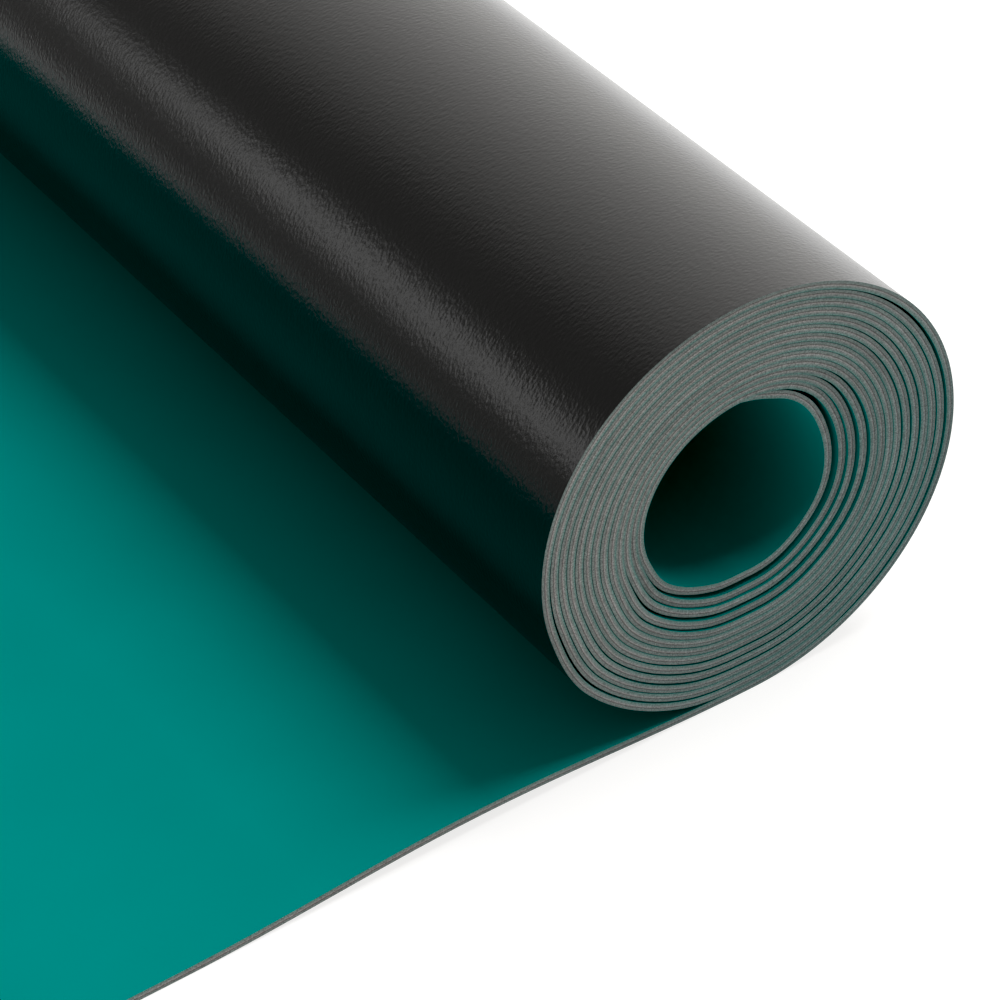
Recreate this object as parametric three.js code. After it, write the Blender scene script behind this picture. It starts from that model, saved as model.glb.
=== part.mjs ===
// Anti-static bench mat: one long two-layer rubber sheet, wound into a loose roll
// whose outer end lies flat on the bench.
//
// Units are millimetres and +Z is up. The roll's axis runs along Y, and the flat run
// goes off towards -X. The roll is drawn as what it is: one sheet that winds inward,
// turn inside turn, so its turns and the loose places between them show on its ends.

import * as THREE from 'three';
import { toCreasedNormals } from 'three/addons/utils/BufferGeometryUtils.js';

// Driving dimensions of the sheet
const sheet_width = 600;        // along the roll's axis, a stock width
const sheet_thickness = 2.0;    // both layers together
const green_thickness = 0.4;    // static-dissipative top layer
const flat_run = 700;           // free length in front of the roll's lowest line

// Driving dimensions of the roll
const bore_radius = 23;         // mean radius of the open middle
const turns = 13.5;             // from the roll's lowest line to the inner end
const facets_per_turn = 60;     // every turn uses the same directions
const tight_gap = 0.05;         // between turns that lie on each other
const roll_sag = 2.7;           // how much wider than round the soft roll settles
const heel_bulge = 1.2;         // extra fullness just before the roll meets the flat sheet
const heel_direction = 231;     // degrees: 270 is straight down, 180 is towards the flat run
const heel_spread = 39;         // degrees to either side, none of it past straight down
const swelling_lost = 0.36;     // share of the roll's swelling that is gone at the bore

// Driving dimensions of the roll's ends: the innermost turns have slid along the roll
const end_slide = 2.2;          // how far the inner end has slid towards +Y
const sliding_turns = 4.2;      // over how many of the innermost turns
const corner_trim = 1.8;        // taken off both corners of the inner end
const corner_angle = 20;        // over the last degrees of the sheet

// Driving dimensions of the wave in the flat run
const wave_height = 3.1;
const wave_length = 150;

// Loose places between turns, from the outermost turn inwards:
// how far the gap opens, the direction where it is widest, and how far round it reaches.
const loose_places = [
  { opens: 0.65, towards: 350, reach: 75 },
  { opens: 0.40, towards: 225, reach: 62 },
  { opens: 0.35, towards: 310, reach: 130 },
  { opens: 0.42, towards: 300, reach: 140 },
  { opens: 0.43, towards: 300, reach: 140 },
  { opens: 0.20, towards: 300, reach: 140 },
  { opens: 0.02, towards: 300, reach: 120 },
  { opens: 0.05, towards: 300, reach: 120 },
  { opens: 0.40, towards: 300, reach: 140 },
  { opens: 0.40, towards: 290, reach: 140 },
  { opens: 0.45, towards: 290, reach: 140 },
  { opens: 0.35, towards: 300, reach: 140 },
  { opens: 1.20, towards: 310, reach: 140 },
];
const tight_direction = 120;    // all turns lie on each other here

const base_thickness = sheet_thickness - green_thickness;
const radians = THREE.MathUtils.degToRad;

// Smallest angle between two directions, in degrees
function angleBetween(a, b) {
  const d = THREE.MathUtils.euclideanModulo(a - b, 360);
  return Math.min(d, 360 - d);
}

// 1 in the middle of a range of directions and 0 outside it, with soft shoulders
function shoulder(direction, middle, reach) {
  return THREE.MathUtils.smoothstep(1 - angleBetween(direction, middle) / reach, 0, 0.6);
}

// Direction from the roll's centre after winding inwards by some turns: starts straight
// down, then goes away from the flat run, over the top and back.
function directionAfter(wound) {
  return 270 + 360 * wound;
}

// How far the soft roll swells beyond round in one direction
function fullness(direction) {
  const across = Math.cos(radians(direction));
  return roll_sag * across * across + heel_bulge * shoulder(direction, heel_direction, heel_spread);
}

// Gap between a turn and the turn around it, apart from the roll's own swelling
function looseGap(wound) {
  const direction = directionAfter(wound);
  const passed = Math.floor((360 * wound - (tight_direction + 90)) / 360);
  const loose = loose_places[THREE.MathUtils.clamp(passed, 0, loose_places.length - 1)];
  return tight_gap + loose.opens * shoulder(direction, loose.towards, loose.reach);
}

// Height of the flat run's underside at a distance from the roll's lowest line
function waveRise(distance) {
  if (distance <= 0 || distance >= wave_length) return 0;
  return 0.5 * wave_height * (1 - Math.cos(2 * Math.PI * distance / wave_length));
}

// Radius of the outermost turn's black face at the roll's lowest line
const slack_total = loose_places.reduce((sum, place) => sum + place.opens, 0);
const roll_radius = bore_radius + turns * (sheet_thickness + tight_gap) + 0.55 * slack_total;

// Longest radius that keeps the roll's underside clear of the sheet it lies on
function restingRadius(direction) {
  const down = -Math.sin(radians(direction));
  const out = -Math.cos(radians(direction));
  if (down < 0.5 || out < 0.01) return Infinity;
  let radius = roll_radius;
  for (let step = 0; step < 20; step += 1) {
    const lowest = sheet_thickness + tight_gap + waveRise(radius * out);
    radius = (roll_radius - lowest) / down;
  }
  return radius;
}

// Radii of the black face, wound from the outside inwards. Each turn lies inside the one
// before it, less the sheet's thickness and the gap, so no turn can cut another. What the
// outermost turn has over a round one is lost bit by bit, so the bore is rounder.
const steps = Math.round(turns * facets_per_turn);
const outer_radii = [];
const swelling = [];
for (let i = 0; i <= steps; i += 1) {
  const wound = i / facets_per_turn;
  const direction = directionAfter(wound);
  const round = roll_radius - (sheet_thickness + tight_gap) * wound;
  if (i < facets_per_turn) {
    const radius = Math.min(round + fullness(direction), restingRadius(direction));
    outer_radii.push(radius);
    swelling.push(Math.max(radius - round, 0));
  } else {
    const outside = outer_radii[i - facets_per_turn] - sheet_thickness;
    const rounder = swelling_lost * swelling[i % facets_per_turn] / turns;
    outer_radii.push(outside - looseGap(wound) - rounder);
  }
}

// How far the sheet has slid along the roll, some turns before its inner end
function slideAt(turns_left) {
  return end_slide * THREE.MathUtils.clamp(1 - turns_left / sliding_turns, 0, 1);
}

// How much of each edge is cut away near the inner end's corners
function trimAt(turns_left) {
  return corner_trim * THREE.MathUtils.clamp(1 - 360 * turns_left / corner_angle, 0, 1);
}

// The sheet as rows of points across its thickness: black face, joint between the layers
// and green face, with the two edges of the sheet there. The rows start at the free end
// of the flat run and finish at the inner end, inside the bore.
const rows = [];

function addFlatRow(distance) {
  const z = waveRise(distance);
  rows.push({
    black: new THREE.Vector2(-distance, z),
    joint: new THREE.Vector2(-distance, z + base_thickness),
    green: new THREE.Vector2(-distance, z + sheet_thickness),
    front: 0,
    back: sheet_width,
  });
}

function addWoundRow(i) {
  const direction = radians(directionAfter(i / facets_per_turn));
  const turns_left = (steps - i) / facets_per_turn;
  const at = (radius) => new THREE.Vector2(
    radius * Math.cos(direction),
    roll_radius + radius * Math.sin(direction),
  );
  rows.push({
    black: at(outer_radii[i]),
    joint: at(outer_radii[i] - base_thickness),
    green: at(outer_radii[i] - sheet_thickness),
    front: slideAt(turns_left) + trimAt(turns_left),
    back: sheet_width + slideAt(turns_left) - trimAt(turns_left),
  });
}

addFlatRow(flat_run);
const wave_steps = 24;
for (let i = wave_steps; i > 0; i -= 1) {
  addFlatRow(wave_length * i / wave_steps);
}
for (let i = 0; i <= steps; i += 1) {
  addWoundRow(i);
}

// Place the part so that its box stands on z = 0 and is centred over the origin
const box = new THREE.Box3();
for (const row of rows) {
  box.expandByPoint(new THREE.Vector3(row.black.x, row.front, row.black.y));
  box.expandByPoint(new THREE.Vector3(row.green.x, row.back, row.green.y));
}
const middle = box.getCenter(new THREE.Vector3());

// One layer: the band between two faces of the sheet, from edge to edge.
// Each row gives four corners: face a front, face a back, face b front, face b back.
function layerSolid(face_a, face_b) {
  const positions = [];
  for (const row of rows) {
    for (const point of [row[face_a], row[face_b]]) {
      positions.push(point.x - middle.x, row.front - middle.y, point.y);
      positions.push(point.x - middle.x, row.back - middle.y, point.y);
    }
  }
  const index = [];
  const quad = (p, q, r, s) => index.push(p, q, r, p, r, s);
  const last = rows.length - 1;
  for (let i = 0; i < last; i += 1) {
    const here = 4 * i;
    const next = here + 4;
    quad(here, next, next + 2, here + 2);          // front edge of the sheet
    quad(here + 1, here + 3, next + 3, next + 1);  // back edge
    quad(here, here + 1, next + 1, next);          // face a
    quad(here + 2, next + 2, next + 3, here + 3);  // face b
  }
  const end = 4 * last;
  quad(0, 2, 3, 1);                                // free end of the flat run
  quad(end, end + 1, end + 3, end + 2);            // inner end
  const geometry = new THREE.BufferGeometry();
  geometry.setAttribute('position', new THREE.Float32BufferAttribute(positions, 3));
  geometry.setIndex(index);
  return toCreasedNormals(geometry, radians(30));
}

const black_base_layer = new THREE.Mesh(
  layerSolid('black', 'joint'),
  new THREE.MeshStandardMaterial({ color: 0x1b1c1e, roughness: 0.55, metalness: 0 }),
);
black_base_layer.name = 'black_base_layer';

const green_top_layer = new THREE.Mesh(
  layerSolid('joint', 'green'),
  new THREE.MeshStandardMaterial({ color: 0x00847a, roughness: 0.6, metalness: 0 }),
);
green_top_layer.name = 'green_top_layer';

const anti_static_bench_mat = new THREE.Group();
anti_static_bench_mat.name = 'anti_static_bench_mat';
anti_static_bench_mat.add(black_base_layer, green_top_layer);

export default anti_static_bench_mat;
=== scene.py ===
# %% [markdown]
# # A rolled anti-static bench mat
# The mat is one long rubber sheet in two bonded layers: a thick black base and a thin
# green top. Most of it is wound into a loose roll, green side inwards, and its outer
# end lies flat on the bench. This lesson builds the two layers with Geometry Nodes,
# gives each its rubber and its cut edges, and lights them as in a small studio.

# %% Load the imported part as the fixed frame
import math
import bpy
from mathutils import Matrix, Vector


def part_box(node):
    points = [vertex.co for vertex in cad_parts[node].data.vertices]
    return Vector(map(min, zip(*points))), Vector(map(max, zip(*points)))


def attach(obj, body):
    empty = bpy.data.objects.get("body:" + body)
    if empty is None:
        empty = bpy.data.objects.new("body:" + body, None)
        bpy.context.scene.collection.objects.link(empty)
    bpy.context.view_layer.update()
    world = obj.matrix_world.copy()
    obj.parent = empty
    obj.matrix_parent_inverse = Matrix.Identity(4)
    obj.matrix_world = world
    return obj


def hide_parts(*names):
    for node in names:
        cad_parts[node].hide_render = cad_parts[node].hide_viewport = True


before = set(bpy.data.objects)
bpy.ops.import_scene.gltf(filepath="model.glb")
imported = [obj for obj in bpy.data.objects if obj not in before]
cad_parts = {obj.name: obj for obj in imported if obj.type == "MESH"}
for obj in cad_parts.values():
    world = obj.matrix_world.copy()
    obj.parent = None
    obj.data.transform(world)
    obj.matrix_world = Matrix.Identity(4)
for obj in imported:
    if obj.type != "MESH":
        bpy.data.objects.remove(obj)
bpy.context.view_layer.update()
mm = 0.001
scene = bpy.context.scene

# %% [markdown]
# ## Sizes
# A rolled sheet has few sizes of its own: width, thickness, length of the free end and
# how the roll is wound. They could be read off the frame's mesh, but only the box is
# easy to read, so the sheet's sizes are named here and the roll's place comes from the
# frame. That way a reader can see which numbers make the shape.

# %% Sizes of the sheet and of its roll
sheet_width = 600 * mm
sheet_thickness = 2.0 * mm
green_thickness = 0.4 * mm
base_thickness = sheet_thickness - green_thickness
flat_run = 700 * mm
bore_radius = 23 * mm
turns = 13.5
tight_gap = 0.05 * mm
roll_sag = 2.7 * mm
heel_bulge = 1.2 * mm
heel_direction = 231
heel_spread = 39
swelling_lost = 0.36
end_slide = 2.2 * mm
sliding_turns = 4.2
corner_trim = 1.8 * mm
corner_angle = 20
wave_height = 3.1 * mm
wave_length = 150 * mm

# %% [markdown]
# ## Loose places
# A hand-wound roll is never even. Each turn has a stretch where it stands off the turn
# around it, and the photo shows these as dark crescents on the roll's end. A noise
# could make such gaps, but they would fall anywhere. So each place gets one row: its
# turn, how far the gap opens, the direction where it is widest, and how far round it
# reaches.

# %% Loose places, each with the turn it lies outside of, counted from the outermost
loose_places = [
    (0, 0.65 * mm, 350, 75),
    (1, 0.35 * mm, 225, 62),
    (1, 0.25 * mm, 347, 62),
    (2, 0.10 * mm, 218, 45),
    (3, 0.42 * mm, 300, 125),
    (4, 0.40 * mm, 305, 125),
    (5, 0.42 * mm, 310, 115),
    (6, 0.02 * mm, 300, 120),
    (7, 0.08 * mm, 300, 120),
    (8, 0.02 * mm, 300, 120),
    (9, 0.46 * mm, 310, 130),
    (10, 0.68 * mm, 300, 140),
    (11, 0.12 * mm, 300, 140),
    (12, 1.35 * mm, 320, 135),
]
tight_direction = 120
slack_total = sum(opens for turn, opens, towards, reach in loose_places)
roll_radius = bore_radius + turns * (sheet_thickness + tight_gap) + 0.55 * slack_total
low_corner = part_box("black_base_layer")[0]
lowest_line_x = low_corner.x + flat_run
front_edge_y = low_corner.y
print(f"roll radius {roll_radius / mm:.2f} mm, centre line at x {lowest_line_x / mm:.2f} mm")

# %% [markdown]
# ## Camera
# The photo was taken from the left, looking down on the roll's cut end, with a long
# lens. A camera could be aimed at a target by a constraint, but a constraint hides the
# angles. Three turns say it plainly: round the vertical, down from level, and a small
# tilt of the whole picture.

# %% Camera at the photo's viewing angle
view_heading = -31.15
view_down = 38.98
view_tilt = -4.46
view_place = Vector((-397.4, -553.04, 608.42)) * mm
view_place += Vector((lowest_line_x, front_edge_y, 0))
camera_data = bpy.data.cameras.new("photo_camera")
camera_data.sensor_width = 36
camera_data.lens = 146.37
camera_data.clip_start = 0.01
camera_data.clip_end = 20
camera = bpy.data.objects.new("photo_camera", camera_data)
heading = Matrix.Rotation(math.radians(view_heading), 4, "Z")
downward = Matrix.Rotation(math.radians(90 - view_down), 4, "X")
tilt = Matrix.Rotation(math.radians(view_tilt), 4, "Z")
camera.matrix_world = Matrix.Translation(view_place) @ heading @ downward @ tilt
scene.collection.objects.link(camera)
scene.camera = camera
print("camera right, up", [round(v, 4) for v in camera.matrix_world.col[0]],
      [round(v, 4) for v in camera.matrix_world.col[1]])

# %% [markdown]
# ## Helpers for node trees
# Node trees are usually drawn by hand. In a script they read best when one short call
# adds a node and feeds it, and another does one sum. These helpers serve the geometry
# and the materials alike.

# %% Add a node and feed its inputs
def feed(tree, value, socket):
    if isinstance(value, bpy.types.NodeSocket):
        tree.links.new(value, socket)
    else:
        socket.default_value = value


def add(tree, kind, inputs=None, **settings):
    made = tree.nodes.new(kind)
    for name, value in settings.items():
        setattr(made, name, value)
    for key, value in (inputs or {}).items():
        feed(tree, value, made.inputs[key])
    return made


def calc(tree, operation, a, b=0.0, c=0.0):
    return add(tree, "ShaderNodeMath", {0: a, 1: b, 2: c}, operation=operation).outputs[0]


def new_tree(name, inputs, outputs):
    tree = bpy.data.node_groups.new(name, "GeometryNodeTree")
    for label, kind, value in inputs:
        socket = tree.interface.new_socket(label, in_out="INPUT", socket_type=kind)
        if value is not None:
            socket.default_value = value
    for label, kind in outputs:
        tree.interface.new_socket(label, in_out="OUTPUT", socket_type=kind)
    given = tree.nodes.new("NodeGroupInput")
    result = tree.nodes.new("NodeGroupOutput")
    return tree, given.outputs, result.inputs


def use(tree, group, inputs):
    made = tree.nodes.new("GeometryNodeGroup")
    made.node_tree = group
    for key, value in inputs.items():
        feed(tree, value, made.inputs[key])
    return made.outputs[0]


FLOAT = "NodeSocketFloat"
print("helpers ready")

# %% [markdown]
# ## Small rules that the winding uses
# Three rules return again and again, so each is a node group of its own: a smooth
# hill over a range of directions, the height of the flat end's low wave, and the
# sideways pull of one loose place. A group keeps the main tree short, and a change in
# it reaches every place that uses it.

# %% A smooth hill over a range of directions
shoulder, given, result = new_tree(
    "direction_hill",
    [("Direction", FLOAT, None), ("Middle", FLOAT, None), ("Reach", FLOAT, 90.0)],
    [("Share", FLOAT)],
)
apart = calc(shoulder, "SUBTRACT", given["Direction"], given["Middle"])
apart = calc(shoulder, "FLOORED_MODULO", apart, 360.0)
apart = calc(shoulder, "MINIMUM", apart, calc(shoulder, "SUBTRACT", 360.0, apart))
inside = calc(shoulder, "SUBTRACT", 1.0, calc(shoulder, "DIVIDE", apart, given["Reach"]))
hill = add(
    shoulder,
    "ShaderNodeMapRange",
    {"Value": inside, "From Min": 0.0, "From Max": 0.6},
    interpolation_type="SMOOTHSTEP",
)
shoulder.links.new(hill.outputs[0], result["Share"])
print("nodes in the hill rule", len(shoulder.nodes))

# %% Height of the wave in the flat end
wave, given, result = new_tree(
    "wave_rise",
    [("Distance", FLOAT, None), ("Height", FLOAT, None), ("Length", FLOAT, 1.0)],
    [("Rise", FLOAT)],
)
part_way = calc(wave, "DIVIDE", given["Distance"], given["Length"])
part_way = calc(wave, "MINIMUM", calc(wave, "MAXIMUM", part_way, 0.0), 1.0)
swing = calc(wave, "COSINE", calc(wave, "MULTIPLY", part_way, 2 * math.pi))
rise = calc(wave, "MULTIPLY", calc(wave, "SUBTRACT", 1.0, swing), 0.5)
rise = calc(wave, "MULTIPLY", rise, given["Height"])
wave.links.new(rise, result["Rise"])
print("nodes in the wave rule", len(wave.nodes))

# %% One loose place pulls the turns inside it towards the bore
loosen, given, result = new_tree(
    "loose_place",
    [
        ("Radius", FLOAT, None),
        ("Wound", FLOAT, None),
        ("Direction", FLOAT, None),
        ("Starts", FLOAT, None),
        ("Opens", FLOAT, None),
        ("Towards", FLOAT, None),
        ("Reach", FLOAT, 90.0),
    ],
    [("Radius", FLOAT)],
)
share = use(
    loosen,
    shoulder,
    {"Direction": given["Direction"], "Middle": given["Towards"], "Reach": given["Reach"]},
)
passed = calc(loosen, "GREATER_THAN", given["Wound"], given["Starts"])
pull = calc(loosen, "MULTIPLY", calc(loosen, "MULTIPLY", share, passed), given["Opens"])
loosen.links.new(calc(loosen, "SUBTRACT", given["Radius"], pull), result["Radius"])
print("nodes in the loose place rule", len(loosen.nodes))

# %% [markdown]
# ## The line that the sheet follows
# Seen from the end, the sheet is one line: along the bench, then round and round
# inwards. It could be drawn as a spiral primitive, but a real roll sags, rests on its
# own free end and has loose places. So a plain row of points is moved by a rule. The
# rule works with the number of turns wound so far: the whole part says which turn it
# is, and the rest is the direction from the roll's middle.

# %% The main tree and its named inputs
steps_per_turn = 180
flat_steps = 210
edge_wander = 0.12 * mm
edge_rounding = 0.03 * mm
settling_rounds = 6
size_inputs = [
    ("Sheet Width", sheet_width),
    ("Sheet Thickness", sheet_thickness),
    ("Flat Run", flat_run),
    ("Roll Radius", roll_radius),
    ("Turns", turns),
    ("Tight Gap", tight_gap),
    ("Roll Sag", roll_sag),
    ("Heel Bulge", heel_bulge),
    ("Heel Direction", heel_direction),
    ("Heel Spread", heel_spread),
    ("Swelling Lost", swelling_lost),
    ("Wave Height", wave_height),
    ("Wave Length", wave_length),
    ("End Slide", end_slide),
    ("Sliding Turns", sliding_turns),
    ("Corner Trim", corner_trim),
    ("Corner Angle", corner_angle),
    ("Edge Wander", edge_wander),
    ("Edge Rounding", edge_rounding),
    ("Outer Depth", 0.0),
    ("Inner Depth", base_thickness),
]
sheet_tree, given, result = new_tree(
    "wound_sheet_layer",
    [(label, FLOAT, float(value)) for label, value in size_inputs]
    + [
        ("Steps Per Turn", "NodeSocketInt", steps_per_turn),
        ("Flat Steps", "NodeSocketInt", flat_steps),
        ("Seed", "NodeSocketInt", 7),
        ("Face Finish", "NodeSocketMaterial", None),
        ("Cut Edge Finish", "NodeSocketMaterial", None),
    ],
    [("Geometry", "NodeSocketGeometry")],
)
sizes = given
print("inputs of the main tree", len(size_inputs) + 5)

# %% How far each point is wound, and in which direction it lies
def sheet_calc(operation, a, b=0.0, c=0.0):
    return calc(sheet_tree, operation, a, b, c)


point_number = add(sheet_tree, "GeometryNodeInputIndex").outputs[0]
step = sheet_calc("SUBTRACT", point_number, sizes["Flat Steps"])
wound = sheet_calc("MAXIMUM", sheet_calc("DIVIDE", step, sizes["Steps Per Turn"]), 0.0)
whole_turns = sheet_calc("FLOOR", sheet_calc("ADD", wound, 1e-5))
part_turn = sheet_calc("MAXIMUM", sheet_calc("SUBTRACT", wound, whole_turns), 0.0)
direction = sheet_calc("MULTIPLY_ADD", part_turn, 360.0, 270.0)
angle = sheet_calc("RADIANS", direction)
turned_x = sheet_calc("COSINE", angle)
turned_z = sheet_calc("SINE", angle)
pitch = sheet_calc("ADD", sizes["Sheet Thickness"], sizes["Tight Gap"])
round_radius = sheet_calc("SUBTRACT", sizes["Roll Radius"], sheet_calc("MULTIPLY", pitch, wound))
first_round = sheet_calc(
    "SUBTRACT", sizes["Roll Radius"], sheet_calc("MULTIPLY", pitch, part_turn)
)
print("winding rule ready")

# %% [markdown]
# ## Sag and rest
# Rubber is soft, so the roll spreads a little to both sides and its heel, where it
# meets the free end, is fuller. It can't sink into the sheet it lies on, though. The
# longest radius that clears the sheet depends on the wave below, whose height depends
# on that radius again. A few rounds of the same sum settle it, as a person would do
# with a pocket calculator.

# %% Fullness of the soft roll in one direction
sideways = sheet_calc("MULTIPLY", turned_x, turned_x)
heel_share = use(
    sheet_tree,
    shoulder,
    {"Direction": direction, "Middle": sizes["Heel Direction"], "Reach": sizes["Heel Spread"]},
)
fullness = sheet_calc("MULTIPLY", sizes["Heel Bulge"], heel_share)
fullness = sheet_calc("MULTIPLY_ADD", sizes["Roll Sag"], sideways, fullness)
full_radius = sheet_calc("ADD", first_round, fullness)
print("nodes with the fullness rule", len(sheet_tree.nodes))

# %% Longest radius that clears the sheet below
down = sheet_calc("MULTIPLY", turned_z, -1.0)
out = sheet_calc("MULTIPLY", turned_x, -1.0)
safe_down = sheet_calc("MAXIMUM", down, 0.5)
resting = sizes["Roll Radius"]
for _ in range(settling_rounds):
    below = use(
        sheet_tree,
        wave,
        {
            "Distance": sheet_calc("MULTIPLY", resting, out),
            "Height": sizes["Wave Height"],
            "Length": sizes["Wave Length"],
        },
    )
    clearance = sheet_calc("SUBTRACT", sizes["Roll Radius"], sheet_calc("ADD", pitch, below))
    resting = sheet_calc("DIVIDE", clearance, safe_down)
over_sheet = sheet_calc(
    "MULTIPLY",
    sheet_calc("GREATER_THAN", down, 0.5),
    sheet_calc("GREATER_THAN", out, 0.01),
)
far_away = sheet_calc("SUBTRACT", 1.0, over_sheet)
resting = sheet_calc("ADD", resting, far_away)
outer_radius = sheet_calc("MINIMUM", full_radius, resting)
swelling = sheet_calc("MAXIMUM", sheet_calc("SUBTRACT", outer_radius, first_round), 0.0)
print("settling rounds", settling_rounds)

# %% The inner turns keep less of the swelling
lost = sheet_calc("DIVIDE", sizes["Swelling Lost"], sizes["Turns"])
kept = sheet_calc("SUBTRACT", 1.0, sheet_calc("MULTIPLY", whole_turns, lost))
swollen = sheet_calc("MULTIPLY_ADD", swelling, kept, round_radius)
first_turn = sheet_calc("LESS_THAN", whole_turns, 0.5)
first_radius = sheet_calc("MULTIPLY", outer_radius, first_turn)
other_turns = sheet_calc("SUBTRACT", 1.0, first_turn)
radius = sheet_calc("MULTIPLY_ADD", swollen, other_turns, first_radius)
print("share of the swelling kept at the bore", 1 - swelling_lost)

# %% Open each loose place in turn
starting_turn = (tight_direction + 90) / 360
for turn, opens, towards, reach in loose_places:
    radius = use(
        sheet_tree,
        loosen,
        {
            "Radius": radius,
            "Wound": wound,
            "Direction": direction,
            "Starts": turn + starting_turn,
            "Opens": opens,
            "Towards": towards,
            "Reach": reach,
        },
    )
print("loose places opened", len(loose_places))

# %% The row of points becomes the sheet's line
flat_share = sheet_calc("DIVIDE", sheet_calc("MULTIPLY", step, -1.0), sizes["Flat Steps"])
flat_distance = sheet_calc(
    "MULTIPLY", sheet_calc("MAXIMUM", flat_share, 0.0), sizes["Flat Run"]
)
flat_rise = use(
    sheet_tree,
    wave,
    {"Distance": flat_distance, "Height": sizes["Wave Height"], "Length": sizes["Wave Length"]},
)
on_roll = sheet_calc("GREATER_THAN", step, -0.5)
roll_x = sheet_calc("MULTIPLY", sheet_calc("MULTIPLY", radius, turned_x), on_roll)
roll_z = sheet_calc("MULTIPLY_ADD", radius, turned_z, sizes["Roll Radius"])
line_x = sheet_calc("SUBTRACT", roll_x, flat_distance)
line_z = sheet_calc("ADD", sheet_calc("MULTIPLY", roll_z, on_roll), flat_rise)
line_place = add(
    sheet_tree,
    "ShaderNodeCombineXYZ",
    {
        "X": sheet_calc("ADD", line_x, lowest_line_x),
        "Y": front_edge_y + sheet_width / 2,
        "Z": line_z,
    },
).outputs[0]
wound_points = sheet_calc("MULTIPLY", sizes["Turns"], sizes["Steps Per Turn"])
point_count = sheet_calc("ADD", sheet_calc("ADD", wound_points, sizes["Flat Steps"]), 1.0)
point_row = add(
    sheet_tree,
    "GeometryNodeMeshLine",
    {"Count": point_count, "Offset": (mm, 0.0, 0.0)},
)
line = add(sheet_tree, "GeometryNodeMeshToCurve", {"Mesh": point_row.outputs[0]})
line = add(
    sheet_tree,
    "GeometryNodeSetPosition",
    {"Geometry": line.outputs[0], "Position": line_place},
)
print("points in the line", flat_steps + round(turns * steps_per_turn) + 1)

# %% [markdown]
# ## From line to layer
# A layer is its section, a long flat rectangle, carried along that line. Solidify on a
# plane would also give a thickness, but its two faces would wander where the roll
# bends. Curve to Mesh keeps the section square to the line. The outer corners get a
# small rounding, while the joint between the layers stays sharp, so the two layers
# meet flush on the cut edge.

# %% Notes for the materials, and the section's fixed stand across the sheet
along = add(sheet_tree, "GeometryNodeSplineParameter").outputs["Length"]
line = add(
    sheet_tree,
    "GeometryNodeStoreNamedAttribute",
    {"Geometry": line.outputs[0], "Name": "along", "Value": along},
    data_type="FLOAT",
    domain="POINT",
)
line = add(
    sheet_tree,
    "GeometryNodeStoreNamedAttribute",
    {"Geometry": line.outputs[0], "Name": "wound", "Value": wound},
    data_type="FLOAT",
    domain="POINT",
)
line = add(sheet_tree, "GeometryNodeSetCurveNormal", {"Curve": line.outputs[0]}, mode="FREE")
line.inputs["Normal"].default_value = (0.0, 1.0, 0.0)
print("notes kept on the line: along, wound")

# %% The section of one layer
section = add(
    sheet_tree,
    "GeometryNodeCurvePrimitiveQuadrilateral",
    {"Width": sizes["Sheet Width"], "Height": 1.0},
    mode="RECTANGLE",
)
corner_place = add(sheet_tree, "GeometryNodeInputPosition").outputs[0]
corner = add(sheet_tree, "ShaderNodeSeparateXYZ", {0: corner_place})
is_inner = sheet_calc("GREATER_THAN", corner.outputs["Y"], 0.0)
layer_depth = sheet_calc("SUBTRACT", sizes["Inner Depth"], sizes["Outer Depth"])
corner_depth = sheet_calc("MULTIPLY_ADD", layer_depth, is_inner, sizes["Outer Depth"])
corner_moved = add(
    sheet_tree, "ShaderNodeCombineXYZ", {"X": corner.outputs["X"], "Y": corner_depth}
)
section = add(
    sheet_tree,
    "GeometryNodeSetPosition",
    {"Geometry": section.outputs[0], "Position": corner_moved.outputs[0]},
)
print("section of the sheet in mm", sheet_width / mm, "by", sheet_thickness / mm)

# %% Round only the corners that show
half_sheet = sheet_calc("DIVIDE", sizes["Sheet Thickness"], 2.0)
from_middle = sheet_calc("ABSOLUTE", sheet_calc("SUBTRACT", corner.outputs["Y"], half_sheet))
on_face = sheet_calc("GREATER_THAN", from_middle, sheet_calc("MULTIPLY", half_sheet, 0.95))
rounding = sheet_calc("MULTIPLY", sizes["Edge Rounding"], on_face)
section = add(
    sheet_tree,
    "GeometryNodeFilletCurve",
    {"Curve": section.outputs[0], "Count": 2, "Radius": rounding},
    mode="POLY",
)
place = add(sheet_tree, "GeometryNodeInputPosition").outputs[0]
depth = add(sheet_tree, "ShaderNodeSeparateXYZ", {0: place}).outputs["Y"]
section = add(
    sheet_tree,
    "GeometryNodeStoreNamedAttribute",
    {"Geometry": section.outputs[0], "Name": "depth", "Value": depth},
    data_type="FLOAT",
    domain="POINT",
)
print(f"edge rounding {edge_rounding / mm:.2f} mm")

# %% Carry the section along the line
layer = add(
    sheet_tree,
    "GeometryNodeCurveToMesh",
    {"Curve": line.outputs[0], "Profile Curve": section.outputs[0], "Fill Caps": True},
)
layer = add(
    sheet_tree,
    "GeometryNodeMergeByDistance",
    {"Geometry": layer.outputs[0], "Distance": 0.002 * mm},
)
print("nodes with the layer", len(sheet_tree.nodes))

# %% [markdown]
# ## The ends of the roll
# The innermost turns have slid along the roll, and the inner end's corners are cut
# back a little. Winding by hand also leaves each turn a hair further out or in than
# its neighbour. A shift along the roll does all three, and the wander is a slow noise
# with a fixed seed, so it comes out the same each time.

# %% Slide, trim and wander of the cut edges
wound_here = add(
    sheet_tree, "GeometryNodeInputNamedAttribute", {"Name": "wound"}, data_type="FLOAT"
).outputs[0]
left = sheet_calc("SUBTRACT", sizes["Turns"], wound_here)


def fading(share_of):
    return sheet_calc("MINIMUM", sheet_calc("MAXIMUM", share_of, 0.0), 1.0)


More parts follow.
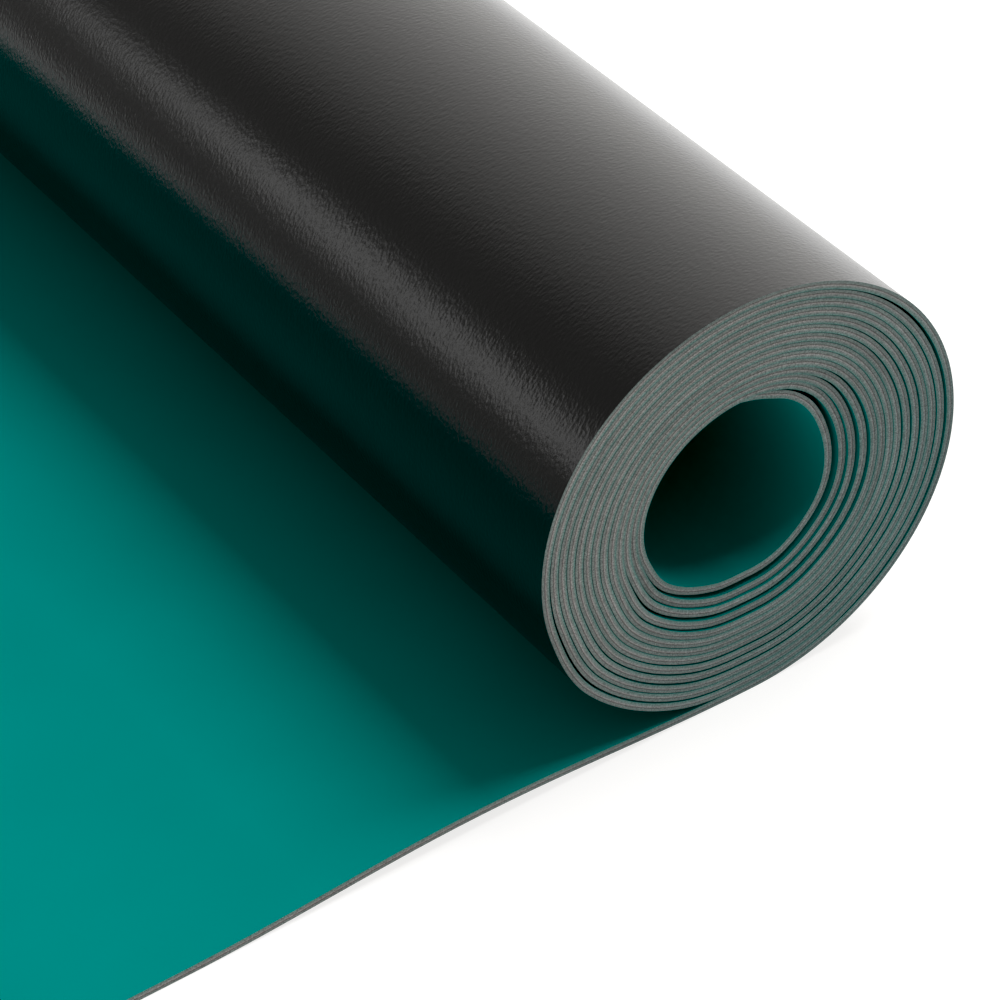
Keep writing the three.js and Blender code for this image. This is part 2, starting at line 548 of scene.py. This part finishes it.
slide = fading(sheet_calc("SUBTRACT", 1.0, sheet_calc("DIVIDE", left, sizes["Sliding Turns"])))
slide = sheet_calc("MULTIPLY", slide, sizes["End Slide"])
corner_turns = sheet_calc("DIVIDE", sizes["Corner Angle"], 360.0)
trim = fading(sheet_calc("SUBTRACT", 1.0, sheet_calc("DIVIDE", left, corner_turns)))
trim = sheet_calc("MULTIPLY", trim, sizes["Corner Trim"])
point_place = add(sheet_tree, "GeometryNodeInputPosition").outputs[0]
edge_place = add(sheet_tree, "ShaderNodeSeparateXYZ", {0: point_place})
is_back = sheet_calc("GREATER_THAN", edge_place.outputs["Y"], front_edge_y + sheet_width / 2)
inwards = sheet_calc("SUBTRACT", 1.0, sheet_calc("MULTIPLY", is_back, 2.0))
wander = add(
    sheet_tree,
    "ShaderNodeTexNoise",
    {"W": sheet_calc("ADD", wound_here, sizes["Seed"]), "Scale": 0.7, "Detail": 2.0},
    noise_dimensions="1D",
)
wander = sheet_calc("SUBTRACT", wander.outputs[0], 0.5)
settled = fading(sheet_calc("MULTIPLY", wound_here, 2.0))
wander = sheet_calc("MULTIPLY", sheet_calc("MULTIPLY", wander, settled), sizes["Edge Wander"])
shift = sheet_calc("MULTIPLY_ADD", trim, inwards, sheet_calc("ADD", slide, wander))
shift_along = add(sheet_tree, "ShaderNodeCombineXYZ", {"Y": shift})
layer = add(
    sheet_tree,
    "GeometryNodeSetPosition",
    {"Geometry": layer.outputs[0], "Offset": shift_along.outputs[0]},
)
print(f"end slide {end_slide / mm:.1f} mm, corner trim {corner_trim / mm:.1f} mm")

# %% Smooth along the sheet, creased at its edges, with a finish for faces and cut edges
layer = add(
    sheet_tree,
    "GeometryNodeSetShadeSmooth",
    {"Geometry": layer.outputs[0], "Shade Smooth": True},
    domain="FACE",
)
bend = add(sheet_tree, "GeometryNodeInputMeshEdgeAngle").outputs["Unsigned Angle"]
crease = sheet_calc("GREATER_THAN", bend, math.radians(15))
layer = add(
    sheet_tree,
    "GeometryNodeSetShadeSmooth",
    {"Geometry": layer.outputs[0], "Selection": crease, "Shade Smooth": False},
    domain="EDGE",
)
facing = add(sheet_tree, "GeometryNodeInputNormal").outputs[0]
facing_y = add(sheet_tree, "ShaderNodeSeparateXYZ", {0: facing}).outputs["Y"]
facing_y = sheet_calc("ABSOLUTE", facing_y)
corners = add(sheet_tree, "GeometryNodeInputMeshFaceNeighbors").outputs["Vertex Count"]
is_cap = sheet_calc("GREATER_THAN", corners, 4.5)
is_cut = sheet_calc("MAXIMUM", sheet_calc("GREATER_THAN", facing_y, 0.3), is_cap)
realized = add(sheet_tree, "GeometryNodeRealizeInstances", {"Geometry": layer.outputs[0]})
painted = add(
    sheet_tree,
    "GeometryNodeSetMaterial",
    {"Geometry": realized.outputs[0], "Material": sizes["Face Finish"]},
)
painted = add(
    sheet_tree,
    "GeometryNodeSetMaterial",
    {
        "Geometry": painted.outputs[0],
        "Selection": is_cut,
        "Material": sizes["Cut Edge Finish"],
    },
)
sheet_tree.links.new(painted.outputs[0], result["Geometry"])
print("nodes in the main tree", len(sheet_tree.nodes))

# %% [markdown]
# ## Finishes
# The black base is a dense rubber with a fine leather-like grain pressed into its
# underside, and it shines softly. The green top is smooth and matt. A picture of
# rubber would show its seams on a sheet this long, so both finishes are made of noise
# that follows the sheet itself.

# %% Start a finish with its shader
def new_finish(name, colour, roughness, specular=0.5):
    made = bpy.data.materials.new(name)
    made.use_nodes = True
    tree = made.node_tree
    shader = tree.nodes["Principled BSDF"]
    shader.inputs["Base Color"].default_value = (*colour, 1.0)
    shader.inputs["Roughness"].default_value = roughness
    shader.inputs["Specular IOR Level"].default_value = specular
    return made, tree, shader


def noted(tree, name):
    return add(tree, "ShaderNodeAttribute", attribute_name=name).outputs["Fac"]


def sheet_place(tree, stretch):
    spot = add(tree, "ShaderNodeTexCoord").outputs["Object"]
    across = add(tree, "ShaderNodeSeparateXYZ", {0: spot}).outputs["Y"]
    lengthways = calc(tree, "DIVIDE", noted(tree, "along"), stretch)
    return add(
        tree,
        "ShaderNodeCombineXYZ",
        {"X": lengthways, "Y": across, "Z": noted(tree, "depth")},
    ).outputs[0]


print("finish helpers ready")

# %% Black base with its leather-like grain
black_rubber = (0.004, 0.004, 0.004)
black_gloss = 0.38
grain_stretch = 1.8
grain_per_metre = 1500.0
pebbles_per_metre = 1300.0
grain_depth = 0.06 * mm
black_finish, tree, shader = new_finish("black_base_rubber", black_rubber, 0.2, black_gloss)
grain_place = sheet_place(tree, grain_stretch)
grain = add(
    tree,
    "ShaderNodeTexNoise",
    {"Vector": grain_place, "Scale": grain_per_metre, "Detail": 2.0},
).outputs[0]
pebbles = add(
    tree, "ShaderNodeTexVoronoi", {"Vector": grain_place, "Scale": pebbles_per_metre}
).outputs["Distance"]
relief = calc(tree, "MULTIPLY_ADD", pebbles, 0.5, grain)
bump = add(
    tree, "ShaderNodeBump", {"Height": relief, "Strength": 1.0, "Distance": grain_depth}
)
tree.links.new(bump.outputs[0], shader.inputs["Normal"])
patches = add(
    tree, "ShaderNodeTexNoise", {"Vector": grain_place, "Scale": 25.0, "Detail": 3.0}
).outputs[0]
worn = add(
    tree, "ShaderNodeMapRange", {"Value": patches, "To Min": 0.17, "To Max": 0.24}
).outputs[0]
tree.links.new(worn, shader.inputs["Roughness"])
print("nodes in the black finish", len(tree.nodes))

# %% Green top, smooth and matt
green_rubber = (0.0, 0.235, 0.215)
green_finish, tree, shader = new_finish("green_top_rubber", green_rubber, 0.6, 0.0)
smooth_place = sheet_place(tree, 1.0)
clouds = add(
    tree, "ShaderNodeTexNoise", {"Vector": smooth_place, "Scale": 18.0, "Detail": 4.0}
).outputs[0]
tint = add(tree, "ShaderNodeValToRGB", {"Fac": clouds})
tint.color_ramp.elements[0].position = 0.3
tint.color_ramp.elements[0].color = (0.0, 0.228, 0.208, 1)
tint.color_ramp.elements[1].position = 0.7
tint.color_ramp.elements[1].color = (0.0, 0.242, 0.222, 1)
tree.links.new(tint.outputs[0], shader.inputs["Base Color"])
skin = add(
    tree, "ShaderNodeTexNoise", {"Vector": smooth_place, "Scale": 2500.0, "Detail": 1.0}
).outputs[0]
bump = add(
    tree, "ShaderNodeBump", {"Height": skin, "Strength": 0.15, "Distance": 0.01 * mm}
)
tree.links.new(bump.outputs[0], shader.inputs["Normal"])
print("nodes in the green finish", len(tree.nodes))

# %% [markdown]
# ## Cut edges
# The slit edge shows the rubber's inside: greyer than its faces, dusty, with fine
# lines where the blade passed, and a dark and a light line at mid-depth that are the
# painted shade and painted highlight of the step the blade left. The bands run at fixed
# depths below the black face, so a colour ramp over the stored depth draws them, and a
# noise stretched along the sheet breaks them up. The roll's end is darker and greener
# towards its lower right, a painted shade, so a second ramp over the place on the
# roll's end paints that shade over the first one.

# %% Bands across the cut edge
streak_stretch = 9.0
streaks_per_metre = 2600.0
streak_depth = 0.04 * mm
band_wander = 0.10
dust_per_metre = 60.0
# Painted shade: the roll's end darkens and turns greener towards its lower right.
painted_shade_tone = (0.62, 0.80, 0.82, 1)
tone_from = lowest_line_x - roll_radius - 50 * mm
tone_to = lowest_line_x - roll_radius + 70 * mm


def cut_edge(name, bands):
    made, tree, shader = new_finish(name, (0.2, 0.2, 0.2), 0.8, 0.25)
    share = calc(tree, "DIVIDE", noted(tree, "depth"), sheet_thickness)
    streaks = add(
        tree,
        "ShaderNodeTexNoise",
        {"Vector": sheet_place(tree, streak_stretch), "Scale": streaks_per_metre, "Detail": 2.0},
    ).outputs[0]
    nudge = calc(tree, "MULTIPLY", calc(tree, "SUBTRACT", streaks, 0.5), band_wander)
    ramp = add(tree, "ShaderNodeValToRGB", {"Fac": calc(tree, "ADD", share, nudge)})
    stops = ramp.color_ramp.elements
    stops[0].position, stops[0].color = bands[0][0], (*bands[0][1], 1)
    stops[1].position, stops[1].color = bands[-1][0], (*bands[-1][1], 1)
    for position, colour in bands[1:-1]:
        stops.new(position).color = (*colour, 1)
    speckle = add(
        tree,
        "ShaderNodeTexNoise",
        {
            "Vector": sheet_place(tree, 1.0),
            "Scale": streaks_per_metre,
            "Detail": 3.0,
            "Roughness": 0.7,
        },
    ).outputs[0]
    dust = add(
        tree,
        "ShaderNodeTexNoise",
        {"Vector": sheet_place(tree, 3.0), "Scale": dust_per_metre, "Detail": 3.0},
    ).outputs[0]
    lighter = add(
        tree,
        "ShaderNodeMapRange",
        {"Value": speckle, "From Min": 0.36, "From Max": 0.64, "To Min": 0.6, "To Max": 1.4},
    ).outputs[0]
    patchy = add(
        tree,
        "ShaderNodeMapRange",
        {"Value": dust, "From Min": 0.35, "From Max": 0.65, "To Min": 0.88, "To Max": 1.12},
    ).outputs[0]
    # Painted shade over the bands, darker and greener towards the lower right of the roll's end.
    here = add(tree, "ShaderNodeTexCoord").outputs["Object"]
    spot = add(tree, "ShaderNodeSeparateXYZ", {0: here})
    to_lower_right = calc(tree, "SUBTRACT", spot.outputs["X"], spot.outputs["Z"])
    shade_share = add(
        tree,
        "ShaderNodeMapRange",
        {"Value": to_lower_right, "From Min": tone_from, "From Max": tone_to},
    ).outputs[0]
    painted_shade_ramp = add(tree, "ShaderNodeValToRGB", {"Fac": shade_share})
    painted_shade_ramp.color_ramp.elements[0].color = (1.0, 1.0, 1.0, 1)
    painted_shade_ramp.color_ramp.elements[1].color = painted_shade_tone
    shade_painted = add(
        tree,
        "ShaderNodeVectorMath",
        {0: ramp.outputs[0], 1: painted_shade_ramp.outputs[0]},
        operation="MULTIPLY",
    ).outputs[0]
    coloured = add(tree, "ShaderNodeVectorMath", {0: shade_painted}, operation="SCALE")
    tree.links.new(calc(tree, "MULTIPLY", lighter, patchy), coloured.inputs["Scale"])
    tree.links.new(coloured.outputs[0], shader.inputs["Base Color"])
    bump = add(
        tree, "ShaderNodeBump", {"Height": streaks, "Strength": 0.4, "Distance": streak_depth}
    )
    tree.links.new(bump.outputs[0], shader.inputs["Normal"])
    return made


# Bands of the black base's cut edge: the rubber's own grey and greenish tones, with a dark line
# at 0.40 and a light line at 0.53 that are the painted shade and painted highlight of the step
# the blade left.
black_edge_finish = cut_edge(
    "black_base_cut_edge",
    [
        (0.00, (0.116, 0.156, 0.146)),
        (0.08, (0.166, 0.207, 0.194)),
        (0.25, (0.190, 0.215, 0.203)),
        (0.34, (0.174, 0.180, 0.171)),
        (0.40, (0.090, 0.082, 0.078)),
        (0.45, (0.184, 0.174, 0.166)),
        (0.53, (0.347, 0.316, 0.307)),
        (0.61, (0.231, 0.245, 0.234)),
        (0.80, (0.166, 0.226, 0.209)),
    ],
)
green_edge_finish = cut_edge(
    "green_top_cut_edge",
    [
        (0.80, (0.163, 0.223, 0.207)),
        (0.92, (0.133, 0.223, 0.203)),
        (1.00, (0.075, 0.238, 0.207)),
    ],
)
print("finishes", [m.name for m in bpy.data.materials if m.name.startswith(("black", "green"))])

# %% [markdown]
# ## Build the two layers
# One tree serves both layers: only the depths between which a layer lies, and its
# finishes, differ. The inputs are set by each socket's identifier before the object is
# first looked at, and the result is kept as a plain mesh with no modifier on it.

# %% Run the tree for one layer
def identifier(tree, label):
    for item in tree.interface.items_tree:
        if item.item_type == "SOCKET" and item.in_out == "INPUT" and item.name == label:
            return item.identifier
    raise KeyError(label)


def build_layer(name, outer, inner, face_finish, cut_finish):
    blank = bpy.data.objects.new(name + "_maker", bpy.data.meshes.new(name + "_maker"))
    scene.collection.objects.link(blank)
    maker = blank.modifiers.new("wound_sheet_layer", "NODES")
    maker.node_group = sheet_tree
    for label, value in (("Outer Depth", outer), ("Inner Depth", inner)):
        maker[identifier(sheet_tree, label)] = value
    maker[identifier(sheet_tree, "Face Finish")] = face_finish
    maker[identifier(sheet_tree, "Cut Edge Finish")] = cut_finish
    ready = blank.evaluated_get(bpy.context.evaluated_depsgraph_get())
    mesh = bpy.data.meshes.new_from_object(ready)
    mesh.name = name
    piece = bpy.data.objects.new(name, mesh)
    scene.collection.objects.link(piece)
    blank.modifiers.remove(maker)
    bpy.data.objects.remove(blank)
    return piece


def signed_volume(mesh):
    mesh.calc_loop_triangles()
    points = [v.co for v in mesh.vertices]
    return sum(
        points[t.vertices[0]].dot(points[t.vertices[1]].cross(points[t.vertices[2]]))
        for t in mesh.loop_triangles
    ) / 6


black_base = build_layer("black_base", 0.0, base_thickness, black_finish, black_edge_finish)
green_top = build_layer(
    "green_top", base_thickness, sheet_thickness, green_finish, green_edge_finish
)
for piece in (black_base, green_top):
    volume = signed_volume(piece.data)
    print(piece.name, len(piece.data.polygons), "faces", f"{volume * 1e6:.1f} cm3",
          "materials", [m.name for m in piece.data.materials])

# %% Tie the layers to the part
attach(black_base, "root")
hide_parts("black_base_layer")
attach(green_top, "root")
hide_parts("green_top_layer")
print("pieces tied to the root body", black_base.name, green_top.name)

# %% [markdown]
# ## Studio
# The photo has a bare white surround and no hard shadow. Product photographers get
# this with a lit table, a bright wall to one side and large soft lamps. Lamps alone
# would leave the black rubber dull, because a glossy black face shows what surrounds
# it. So the surround itself is brighter at the back right, and a low panel at the back
# left makes the satin band along the roll. The photo's darkest shades run together, and
# a small black level in the view's curves does the same.

# %% Lit table
floor_size = 6.0
glow_beyond_free_end = 0.2
glow_by_roll = 0.8
glow_gain_behind = 1.5
floor_mesh = bpy.data.meshes.new("studio_floor")
floor_corners = [(-1, -1), (1, -1), (1, 1), (-1, 1)]
floor_mesh.from_pydata(
    [(x * floor_size / 2, y * floor_size / 2, 0) for x, y in floor_corners], [], [(0, 1, 2, 3)]
)
floor = bpy.data.objects.new("studio_floor", floor_mesh)
scene.collection.objects.link(floor)
# The floor glows, though it is no lamp: dim beyond the free end, brighter by the roll and
# brighter still behind it.
floor_finish, tree, shader = new_finish("glowing_floor", (0.3, 0.3, 0.3), 0.9, 0.2)
shader.inputs["Emission Color"].default_value = (1.0, 0.995, 0.985, 1.0)
floor_place = add(tree, "ShaderNodeTexCoord").outputs["Object"]
floor_spot = add(tree, "ShaderNodeSeparateXYZ", {0: floor_place}).outputs
lit = add(
    tree,
    "ShaderNodeMapRange",
    {
        "Value": floor_spot["X"],
        "From Min": low_corner.x - 0.10,
        "From Max": low_corner.x + 0.25,
        "To Min": glow_beyond_free_end,
        "To Max": glow_by_roll,
    },
).outputs[0]
back_light = add(
    tree,
    "ShaderNodeMapRange",
    {
        "Value": floor_spot["Y"],
        "From Min": front_edge_y + 0.05,
        "From Max": front_edge_y + 0.35,
        "To Min": 1.0,
        "To Max": glow_gain_behind,
    },
).outputs[0]
tree.links.new(calc(tree, "MULTIPLY", lit, back_light), shader.inputs["Emission Strength"])
floor_mesh.materials.append(floor_finish)
print("floor side in metres", floor_size)


# %% Direction from a compass heading and a height, in degrees
def way_to(heading, height):
    heading, height = math.radians(heading), math.radians(height)
    level = math.cos(height)
    return Vector((math.sin(heading) * level, math.cos(heading) * level, math.sin(height)))


print("straight to the right", [round(v, 3) for v in way_to(90, 0)])

# %% Soft panels
def soft_panel(name, size, toward, distance, energy, turned=0.0):
    light = bpy.data.lights.new(name, "AREA")
    light.shape = "RECTANGLE"
    light.size, light.size_y = size
    light.energy = energy
    lamp = bpy.data.objects.new(name, light)
    way = way_to(*toward)
    facing = way.to_track_quat("Z", "Y").to_matrix().to_4x4()
    spin = Matrix.Rotation(math.radians(turned), 4, "Z")
    place = Vector((lowest_line_x, front_edge_y + 0.1, 0.05)) + way * distance
    lamp.matrix_world = Matrix.Translation(place) @ facing @ spin
    scene.collection.objects.link(lamp)
    return lamp


soft_panel("high_right_panel", size=(1.0, 1.0), toward=(92, 63), distance=2.2, energy=38)
soft_panel(
    "low_left_panel", size=(0.7, 0.3), toward=(-46, 20), distance=1.8, energy=1.25, turned=-12
)

# %% Surround, brighter at the back right
bright_heading = 47
bright_height = 20
bright_edge = 0.50
bright_gain = 2.9
front_strength = 0.22
back_strength = 0.45
black_level = 0.008
world = bpy.data.worlds.new("studio_surround")
world.use_nodes = True
tree = world.node_tree
looking = add(tree, "ShaderNodeTexCoord").outputs["Generated"]
brightest = way_to(bright_heading, bright_height)
bright_way = add(
    tree, "ShaderNodeVectorMath", {0: looking, 1: brightest}, operation="DOT_PRODUCT"
)
glow = calc(tree, "SUBTRACT", bright_way.outputs["Value"], bright_edge)
glow = calc(tree, "MAXIMUM", glow, 0.0)
behind = add(tree, "ShaderNodeSeparateXYZ", {0: looking}).outputs["Y"]
plain = add(
    tree,
    "ShaderNodeMapRange",
    {
        "Value": behind,
        "From Min": -0.5,
        "From Max": 0.3,
        "To Min": front_strength,
        "To Max": back_strength,
    },
).outputs[0]
strength = calc(tree, "MULTIPLY_ADD", glow, bright_gain, plain)
surround = tree.nodes["Background"]
surround.inputs["Color"].default_value = (1.0, 0.985, 0.96, 1.0)
tree.links.new(strength, surround.inputs["Strength"])
scene.world = world
scene.view_settings.view_transform = "Standard"
scene.view_settings.use_curve_mapping = True
scene.view_settings.curve_mapping.black_level = (black_level, black_level, black_level)
scene.view_settings.curve_mapping.update()
